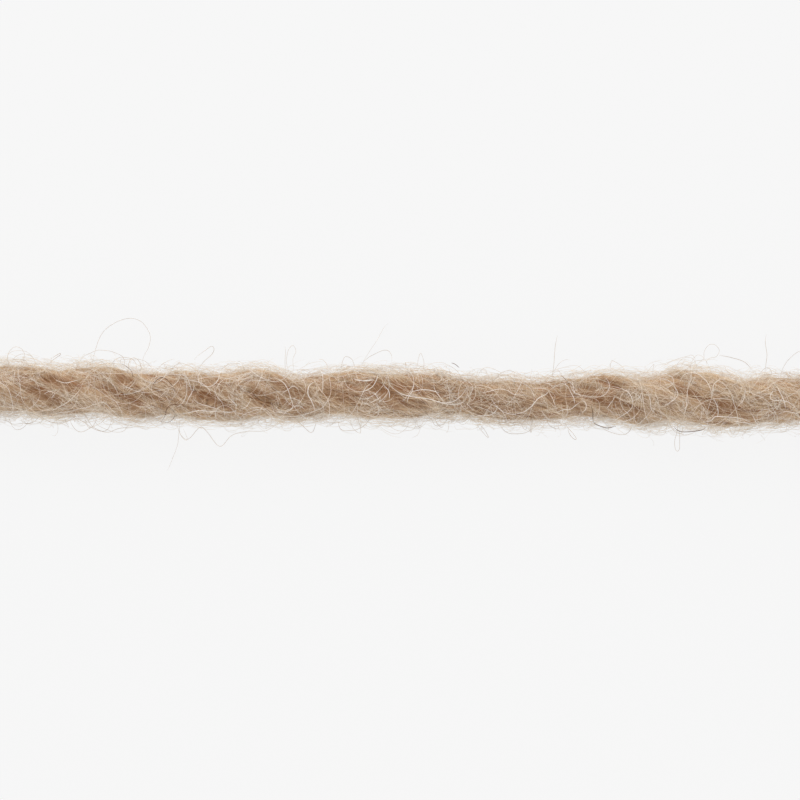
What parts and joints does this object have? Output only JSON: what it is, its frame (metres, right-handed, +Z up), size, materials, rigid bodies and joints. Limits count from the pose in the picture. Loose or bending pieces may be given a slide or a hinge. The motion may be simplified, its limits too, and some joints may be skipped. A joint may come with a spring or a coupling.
{
  "type": "yak yarn",
  "caption": "Straight cut length of soft, fuzzy plied yak yarn in undyed beige-brown, right-hand twisted, for knitting, weaving, tying or trimming",
  "frame": {"origin": "On the surface that the yarn rests on, at the middle of its length and width", "axes": "+X along the yarn, +Y across it, +Z up from the surface"},
  "size_m": [0.052, 0.0033, 0.0026],
  "materials": {
    "yak_fibre": "matt, carded and fuzzy, warm beige-brown"
  },
  "bodies": {
    "root": {"ply_a": "yak_fibre", "ply_b": "yak_fibre", "ply_c": "yak_fibre"}
  },
  "joints": []
}
